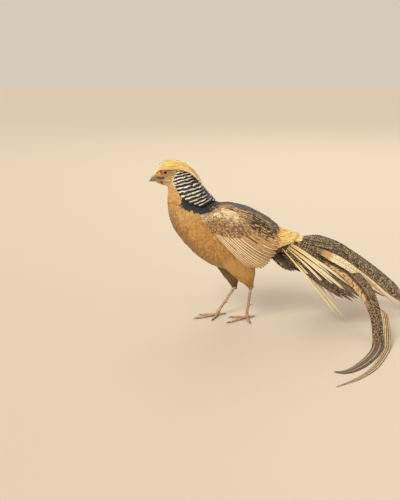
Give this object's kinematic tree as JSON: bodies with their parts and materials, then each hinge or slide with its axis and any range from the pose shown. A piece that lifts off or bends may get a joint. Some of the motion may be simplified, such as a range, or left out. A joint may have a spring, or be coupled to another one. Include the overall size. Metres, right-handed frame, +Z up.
{
  "type": "golden pheasant",
  "caption": "Still life-size golden pheasant cock in a pale colour form, walking, with a silky crest, a barred neck ruff and long tail feathers trailing on the floor.",
  "frame": {"origin": "on the floor, at the middle of the bird's footprint", "axes": "+X from the bill towards the tail, +Y towards its right side, +Z up"},
  "size_m": [0.8838, 0.4532, 0.3633],
  "materials": {
    "face": "short straw-coloured feathers, golden silky crest",
    "bill": "horn",
    "eye": "wet gloss",
    "neck_ruff": "cream feathers with black bars",
    "breast": "apricot-buff body feathers",
    "wing": "mottled brown and cream feathers",
    "tail": "brown feathers with cream spots and bars",
    "thigh": "soft tan feathers",
    "leg_skin": "scaled skin",
    "claw": "horn"
  },
  "bodies": {
    "root": {"head": "face", "bill_upper": "bill", "bill_lower": "bill", "eye_left": "eye", "eye_right": "eye", "neck": "neck_ruff", "torso": "breast", "wing_left": "wing", "wing_right": "wing", "tail": "tail", "tail_long_upper_1": "tail", "tail_long_upper_2": "tail", "tail_long_upper_3": "tail", "tail_long_lower_1": "tail", "tail_long_lower_2": "tail", "tail_long_lower_3": "tail", "tail_long_lower_4": "tail", "tail_long_outer_1": "tail", "tail_long_outer_2": "tail", "thigh_left": "thigh", "thigh_right": "thigh", "shank_left": "leg_skin", "shank_right": "leg_skin", "foot_left": "leg_skin", "foot_right": "leg_skin", "claw_inner_left": "claw", "claw_middle_left": "claw", "claw_outer_left": "claw", "claw_hind_left": "claw", "claw_inner_right": "claw", "claw_middle_right": "claw", "claw_outer_right": "claw", "claw_hind_right": "claw"}
  },
  "joints": []
}
